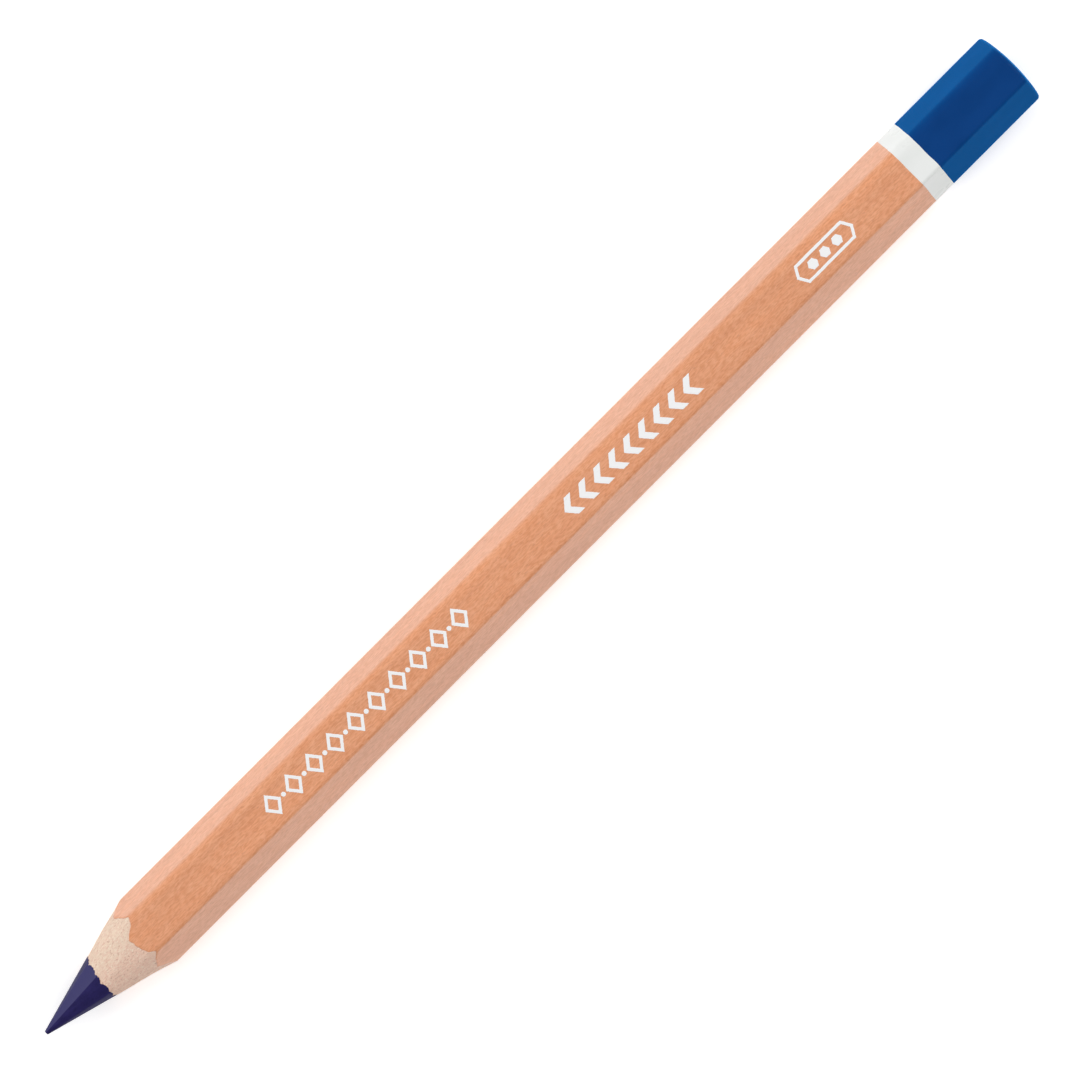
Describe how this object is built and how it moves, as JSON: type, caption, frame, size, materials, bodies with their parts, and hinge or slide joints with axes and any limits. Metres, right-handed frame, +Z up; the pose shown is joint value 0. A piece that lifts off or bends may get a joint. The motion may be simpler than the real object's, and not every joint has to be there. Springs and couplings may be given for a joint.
{
  "type": "coloured pencil",
  "caption": "Thick hexagonal wood-cased coloured pencil, sharpened to a blunt point, with a clear-varnished barrel, foil ornaments, a white ring and a blue dipped end.",
  "frame": {"origin": "middle of the pencil's length and width, at the level of its lower flat, as it lies on a table", "axes": "+X along the pencil from the sharpened point to the dipped end, +Z up out of the stamped flat, +Y across"},
  "size_m": [0.175, 0.0108, 0.0096],
  "materials": {
    "pigment": "satin waxy, indigo blue",
    "bare_wood": "freshly cut, matte",
    "wood_glue": "dried, translucent cream",
    "varnished_wood": "clear gloss varnish over warm reddish wood",
    "white_enamel": "gloss",
    "blue_enamel": "gloss",
    "white_foil": "satin stamped foil"
  },
  "bodies": {
    "root": {"pigment_core": "pigment", "upper_slat": "bare_wood", "lower_slat": "bare_wood", "glue_film": "wood_glue", "clear_varnish": "varnished_wood", "white_undercoat": "white_enamel", "blue_end_coat": "blue_enamel", "foil_lozenge_row": "white_foil", "foil_chevron_row": "white_foil", "foil_hexagon_badge": "white_foil"}
  },
  "joints": []
}
